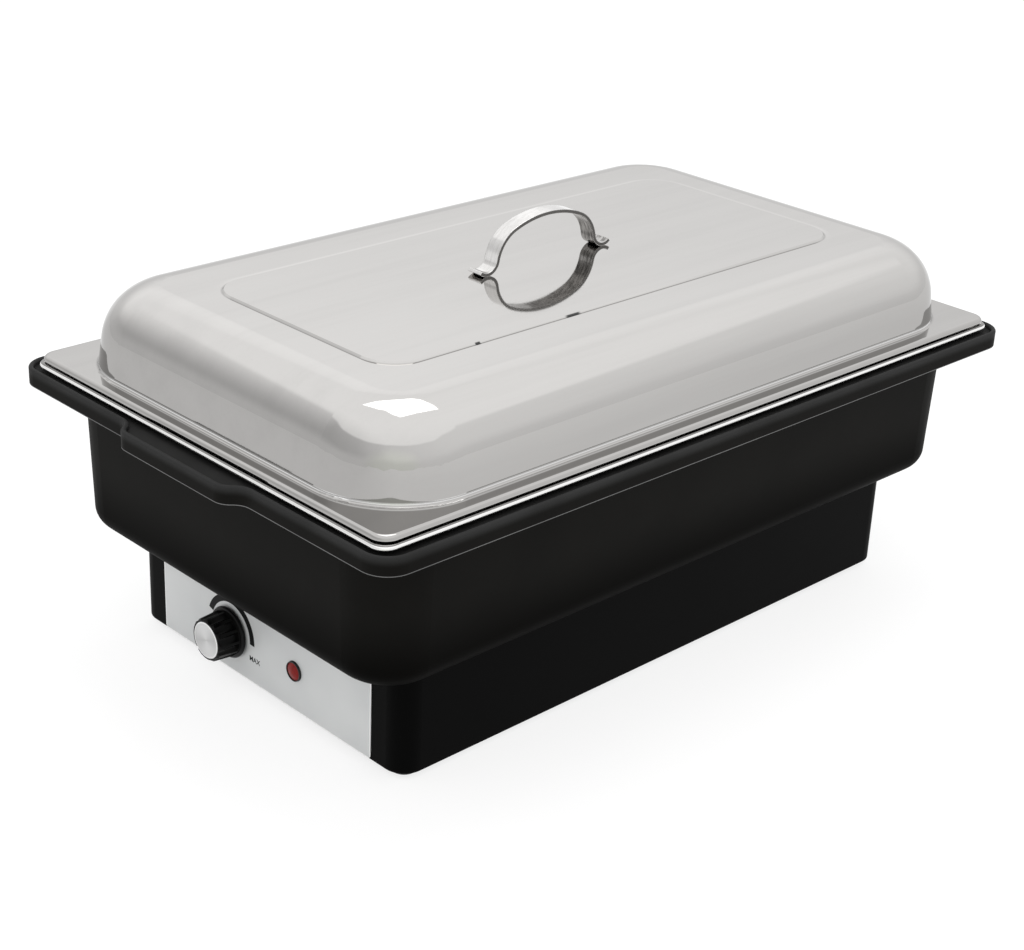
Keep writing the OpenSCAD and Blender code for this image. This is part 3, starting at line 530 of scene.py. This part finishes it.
# %% [markdown]
# ## The knob
# The knob is gloss black with a white pointer line. The line is a narrow strip along the ray that leaves the knob's
# axis at the pointer's angle, and it lies on the front part of the knob only.

# %% Knob
KNOB_Y, KNOB_Z = 31.0 * MM, 31.5 * MM
POINTER_ANGLE = math.radians(225.0)
POINTER_HALF, POINTER_START = 0.9 * MM, 11.8 * MM
POINTER_BACK = -222.0 * MM
KNOB_BLACK, POINTER_WHITE = grey(0.0025), grey(0.90)


def from_knob_axis(finish):
    """The point's place along X, across the knob and above its axis."""
    x, y, z = finish.axes(finish.place())
    return x, y - KNOB_Y, z - KNOB_Z


def knob_black():
    black = Finish("knob gloss")
    x, across, rise = from_knob_axis(black)
    along = across * -math.cos(POINTER_ANGLE) + rise * math.sin(POINTER_ANGLE)
    aside = abs(across * math.sin(POINTER_ANGLE) + rise * math.cos(POINTER_ANGLE))
    pointer = (aside < POINTER_HALF) * (along > POINTER_START) * (x < POINTER_BACK)
    smear = black.noise(black.place(), 160.0, 3.0)
    return black.set(Base_Color=black.mix(pointer, KNOB_BLACK, POINTER_WHITE), Roughness=0.14 + smear * 0.12,
                     Specular_IOR_Level=0.12, Normal=black.soft_edge(0.4 * MM))


dress(knob_black(), "knob")

# %% [markdown]
# ## The knob's disc
# The knob carries a disc of metal that was turned on a lathe. The turning leaves fine rings, and they come from a
# bump that depends only on the distance from the knob's axis. The two bright fans that such rings show are painted
# into the disc's colour as a painted reflection, brightest along one line across the disc, and its edge carries a
# painted highlight, the brightest of all.

# %% Disc
DISC_RADIUS = 11.6 * MM
# Where the painted highlight on the disc's edge starts and where it is full.
DISC_HIGHLIGHT_START, DISC_HIGHLIGHT_FULL = DISC_RADIUS - 1.0 * MM, DISC_RADIUS - 0.5 * MM
# The line across the disc along which the painted fans are brightest.
FAN_ACROSS, FAN_RISE = 0.35, 0.94


def spun_disc():
    disc = Finish("spun disc")
    across, rise = from_knob_axis(disc)[1:]
    radius = (across * across + rise * rise) ** 0.5
    rings = disc.noise(disc.node("ShaderNodeCombineXYZ", inputs={0: radius}), 2600.0, 2.0, 0.7)
    # Painted reflection: the two bright fans, brightest along one line across the disc.
    fan_highlight = abs(across * FAN_ACROSS + rise * FAN_RISE) / (radius + 0.2 * MM)
    rings_and_fan = disc.mix(rings * 0.3 + fan_highlight * 0.7, grey(0.42), grey(0.66))
    # Painted highlight round the disc's edge.
    disc_edge_highlight = radius.ramp(DISC_HIGHLIGHT_START, DISC_HIGHLIGHT_FULL)
    return disc.set(Base_Color=disc.mix(disc_edge_highlight, rings_and_fan, grey(0.82)), Metallic=0.8,
                    Roughness=0.24 + rings * 0.1, Normal=disc.bump(rings, 0.03 * MM, 0.6))


dress(spun_disc(), "knob_cap")

# %% [markdown]
# ## The pilot lamp
# The lamp is dark while the dish is off: a red lens in a black ring. The inside of such a lens is cut into small
# cells that scatter the glow, and they show through the front as a fine pattern.

# %% Lamp
LENS_LIGHT, LENS_DARK = (0.27, 0.013, 0.010, 1.0), (0.18, 0.009, 0.008, 1.0)


def red_lens():
    lens = Finish("red lens")
    cells = lens.node("ShaderNodeTexVoronoi", {"feature": "F1"}, {"Vector": lens.place(), "Scale": 700.0})
    return lens.set(Base_Color=lens.mix(cells, LENS_LIGHT, LENS_DARK), Roughness=0.3,
                    Specular_IOR_Level=0.15, Normal=lens.bump(cells, 0.1 * MM, 0.2))


def lamp_ring():
    ring = Finish("lamp ring")
    smear = ring.noise(ring.place(), 300.0, 2.0)
    return ring.set(Base_Color=ring.mix(smear, grey(0.010), grey(0.018)), Roughness=0.3 + smear * 0.15,
                    Specular_IOR_Level=0.3, Normal=ring.soft_edge(0.3 * MM))


dress(red_lens(), "lamp_lens")
dress(lamp_ring(), "lamp_bezel")

# %% [markdown]
# ## Inner pieces
# Lift the lid and the pan, and the tank shows its heater plate. The rest sits inside the plinth and shows only
# through the vents, but each piece still gets the finish it has on the bench: plain steel, cream heat-proof
# plastic, rubber, brass, and the dark skin of a heating tube. One function makes them all, from a light and a dark
# tone, how metallic and how rough the stuff is, and the scale and depth of its specks.

# %% Inner finishes
INNER_ROUND = 0.3 * MM


def plain_finish(name, light, dark, metal, rough, scale, depth):
    stuff = Finish(name)
    speck = stuff.noise(stuff.place(), scale, 4.0, 0.6)
    cloud = stuff.noise(stuff.place(), scale / 25.0, 2.0)
    return stuff.set(Base_Color=stuff.mix(speck * 0.5 + cloud * 0.5, light, dark), Metallic=metal,
                     Roughness=rough + speck * 0.12,
                     Normal=stuff.bump(speck, depth, 0.4, stuff.soft_edge(INNER_ROUND)))


FINE, COARSE, COARSEST = 0.02 * MM, 0.03 * MM, 0.04 * MM
STEEL = plain_finish("plain steel", (0.60, 0.595, 0.58, 1.0), (0.44, 0.435, 0.42, 1.0), 1.0, 0.28, 900.0, FINE)
CREAM = plain_finish("cream plastic", (0.80, 0.76, 0.64, 1.0), (0.70, 0.66, 0.54, 1.0), 0.0, 0.5, 700.0, COARSE)
BRASS = plain_finish("brass", (0.72, 0.58, 0.30, 1.0), (0.56, 0.43, 0.20, 1.0), 1.0, 0.3, 800.0, FINE)
SEAL = plain_finish("seal silicone", (0.46, 0.10, 0.05, 1.0), (0.38, 0.08, 0.04, 1.0), 0.0, 0.55, 500.0, COARSE)
SHEATH = plain_finish("element sheath", (0.16, 0.14, 0.12, 1.0), (0.07, 0.06, 0.06, 1.0), 0.8, 0.45, 600.0, COARSE)
RUBBER = plain_finish("black rubber", grey(0.016), grey(0.009), 0.0, 0.7, 900.0, COARSEST)
INLET = plain_finish("inlet plastic", grey(0.012), grey(0.006), 0.0, 0.35, 900.0, COARSE)
BROWN = plain_finish("brown wire", (0.16, 0.06, 0.025, 1.0), (0.12, 0.045, 0.02, 1.0), 0.0, 0.45, 600.0, FINE)
BLUE = plain_finish("blue wire", (0.02, 0.08, 0.32, 1.0), (0.015, 0.06, 0.26, 1.0), 0.0, 0.45, 600.0, FINE)
GREEN = plain_finish("earth wire", (0.20, 0.40, 0.03, 1.0), (0.15, 0.33, 0.02, 1.0), 0.0, 0.45, 600.0, FINE)

dress(STEEL, "heater_plate", "clamp_frame", "plate_nuts", "element_clamps", "regulator_screws", "inlet_screws",
      "cover_screws", "tank_screws", "lamp_clip")
dress(CREAM, "heat_regulator", "lamp_holder", "thermal_cutout", "terminal_block")
dress(BRASS, "regulator_shaft", "inlet_pins")
dress(SEAL, "plate_seal")
dress(SHEATH, "heating_element")
dress(RUBBER, "rubber_feet")
dress(INLET, "appliance_inlet")
dress(BROWN, "live_wire")
dress(BLUE, "neutral_wire")
dress(GREEN, "earth_wire")

# %% [markdown]
# ## Ink
# The plate's print is a thin layer of ink, a few hundredths of a millimetre thick. Painting it in the plate's
# material would need a mask for each mark, so each mark is a flat piece of its own that rides on the base.

# %% Ink
INK_UP = 0.04 * MM
PLATE_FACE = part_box("control_plate")[0].x


def ink_black():
    ink = Finish("ink")
    speck = ink.noise(ink.place(), 1800.0, 2.0)
    return ink.set(Base_Color=ink.mix(speck, grey(0.005), grey(0.009)), Roughness=0.5 + speck * 0.1,
                   Specular_IOR_Level=0.1)


INK = ink_black()


def ink_piece(name, mesh):
    mesh.materials.clear()
    mesh.materials.append(INK)
    piece = bpy.data.objects.new(name, mesh)
    bpy.context.scene.collection.objects.link(piece)
    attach(piece, "base")
    print("ink:", piece.name, len(mesh.polygons), "faces")


print(INK.name, "lies", INK_UP / MM, "mm thick")

# %% [markdown]
# ## The printed scale
# The scale is an arc round the knob. Its outline runs along the outer edge and back along the inner one, and the
# layer is that outline with a little thickness.

# %% Scale
ARC_INNER, ARC_OUTER = 18.9 * MM, 23.3 * MM
ARC_START, ARC_END, ARC_STEPS = 20.0, 183.0, 48


def arc_outline():
    """Points (y, z) of the scale. Angles run clockwise from nine o'clock, as the knob turns."""
    turns = [math.radians(ARC_START + (ARC_END - ARC_START) * i / ARC_STEPS) for i in range(ARC_STEPS + 1)]
    rays = [(math.cos(angle), math.sin(angle)) for angle in turns]
    outer = [(KNOB_Y + ARC_OUTER * c, KNOB_Z + ARC_OUTER * s) for c, s in rays]
    inner = [(KNOB_Y + ARC_INNER * c, KNOB_Z + ARC_INNER * s) for c, s in reversed(rays)]
    return outer + inner


def layer(name, outline):
    """A flat layer on the plate, from an outline of (y, z) points seen from the front."""
    count = len(outline)
    low = [(PLATE_FACE, y, z) for y, z in outline]
    high = [(PLATE_FACE - INK_UP, y, z) for y, z in outline]
    faces = [tuple(range(count)), tuple(reversed(range(count, 2 * count)))]
    faces += [(i, count + i, count + (i + 1) % count, (i + 1) % count) for i in range(count)]
    mesh = bpy.data.meshes.new(name)
    mesh.from_pydata(low + high, [], faces)
    return mesh


ink_piece("scale_arc", layer("scale_arc", arc_outline()))

# %% [markdown]
# ## The printed word
# The word is Blender's own text, turned to face the front of the plate and then made into a mesh. Its letters are
# a little bolder than the font's, as print on metal spreads.

# %% Word
WORD_SIZE, WORD_BOLDER = 4.8 * MM, 0.09 * MM
WORD_Y, WORD_Z = 7.6 * MM, 19.6 * MM

letters = bpy.data.curves.new("max_word", "FONT")
letters.body = "MAX"
letters.size = WORD_SIZE
letters.offset = WORD_BOLDER
letters.extrude = INK_UP / 2
letters.align_x = "CENTER"
word = bpy.data.objects.new("max_word_text", letters)
bpy.context.scene.collection.objects.link(word)
to_plate = Matrix(((0, 0, -1, PLATE_FACE - INK_UP / 2), (-1, 0, 0, WORD_Y), (0, 1, 0, WORD_Z), (0, 0, 0, 1)))
bpy.context.view_layer.update()
word_mesh = bpy.data.meshes.new_from_object(word.evaluated_get(bpy.context.evaluated_depsgraph_get()))
word_mesh.transform(to_plate)
bpy.data.objects.remove(word)
ink_piece("max_word", word_mesh)

# %% [markdown]
# ## The floor
# The photograph is a studio shot on white. The floor is a pale sheet that keeps the dish's soft shadow. A little
# light of its own lifts it to white, but only for rays that show it: the camera's, and those that polished or
# clear surfaces send on. The light that falls on the dish stays as it is.

# %% Floor
FLOOR_HALF = 9.0
FLOOR_LIT, FLOOR_SEEN, FLOOR_GLOW = grey(0.80), grey(0.26), grey(0.78)

floor_mesh = bpy.data.meshes.new("floor")
corners = [(x, y, 0.0) for x, y in ((-1, -1), (1, -1), (1, 1), (-1, 1))]
floor_mesh.from_pydata([Vector(corner) * FLOOR_HALF for corner in corners], [], [(0, 1, 2, 3)])
floor = bpy.data.objects.new("floor", floor_mesh)
bpy.context.scene.collection.objects.link(floor)


def pale_floor():
    pale = Finish("pale floor")
    seen = pale.node("ShaderNodeLightPath", output="Is Camera Ray")
    seen = seen.most(pale.node("ShaderNodeLightPath", output="Is Glossy Ray"))
    seen = seen.most(pale.node("ShaderNodeLightPath", output="Is Transmission Ray"))
    return pale.set(Base_Color=pale.mix(seen, FLOOR_LIT, FLOOR_SEEN), Roughness=0.9, Specular_IOR_Level=0.0,
                    Emission_Color=pale.mix(seen, grey(0.0), FLOOR_GLOW), Emission_Strength=1.0)


floor_mesh.materials.append(pale_floor())
print("floor", 2 * FLOOR_HALF, "m wide")

# %% [markdown]
# ## The sky
# A mirror-bright lid shows the room, so the room is part of its look. The sky here stands for a white studio tent.
# It is white at the horizon. Higher up it is greyer on the left, and brighter on the right, behind the dish,
# overhead and towards the camera, where it also has a faint tint.

# %% Sky
DIAGONAL = math.sqrt(0.5)
BEHIND, LEFT, RIGHT, FRONT, CEILING = 0.46, 0.20, 0.12, 0.16, 1.28
SIDE_LOSS = 0.02
FRONT_TINT = (0.96, 0.98, 0.93, 1.0)

world = bpy.data.worlds.new("studio")
bpy.context.scene.world = world
world.use_nodes = True
sky = Network(world.node_tree)
x, y, z = sky.axes(sky.node("ShaderNodeTexCoord", output="Generated"))
to_back = (x + y) * DIAGONAL
to_right = (x - y) * DIAGONAL
behind = to_back.most(0.0) * z.ramp(0.1, 0.48, 0.0, BEHIND) * (1 - to_right * 0.9)
beside = to_right.least(0.0) * LEFT + to_right.most(0.0) * RIGHT - SIDE_LOSS
in_front = to_back.ramp(-0.98, -0.80, 1.0, 0.0)
wall = 1.0 + behind + z.ramp(0.08, 0.30) * (beside + in_front * FRONT)
level = wall + z.ramp(0.585, 0.635) * (CEILING - wall)
tint = sky.mix(in_front, grey(1.0), FRONT_TINT)
background = sky.node("ShaderNodeBackground", inputs={"Color": tint, "Strength": level})
sky.put(sky.tree.nodes.new("ShaderNodeOutputWorld").inputs[0], background)
bpy.context.scene.view_settings.view_transform = "Standard"
print("sky of", len(sky.tree.nodes), "nodes")

# %% [markdown]
# ## The lamp overhead
# One soft lamp hangs over the dish. Its light is weak beside the sky's, but the lid mirrors it as the white patch
# on its near corner.

# %% Lamp overhead
LAMP_SIDE, LAMP_POWER = 1.0, 5.6
LAMP_PLACE = (0.30, 0.30, 1.75)
lamp = bpy.data.lights.new("soft lamp", "AREA")
lamp.shape = "SQUARE"
lamp.size = LAMP_SIDE
lamp.energy = LAMP_POWER
lamp_object = bpy.data.objects.new("soft lamp", lamp)
lamp_object.location = LAMP_PLACE
bpy.context.scene.collection.objects.link(lamp_object)
print("lamp", LAMP_SIDE, "m wide,", LAMP_POWER, "W")
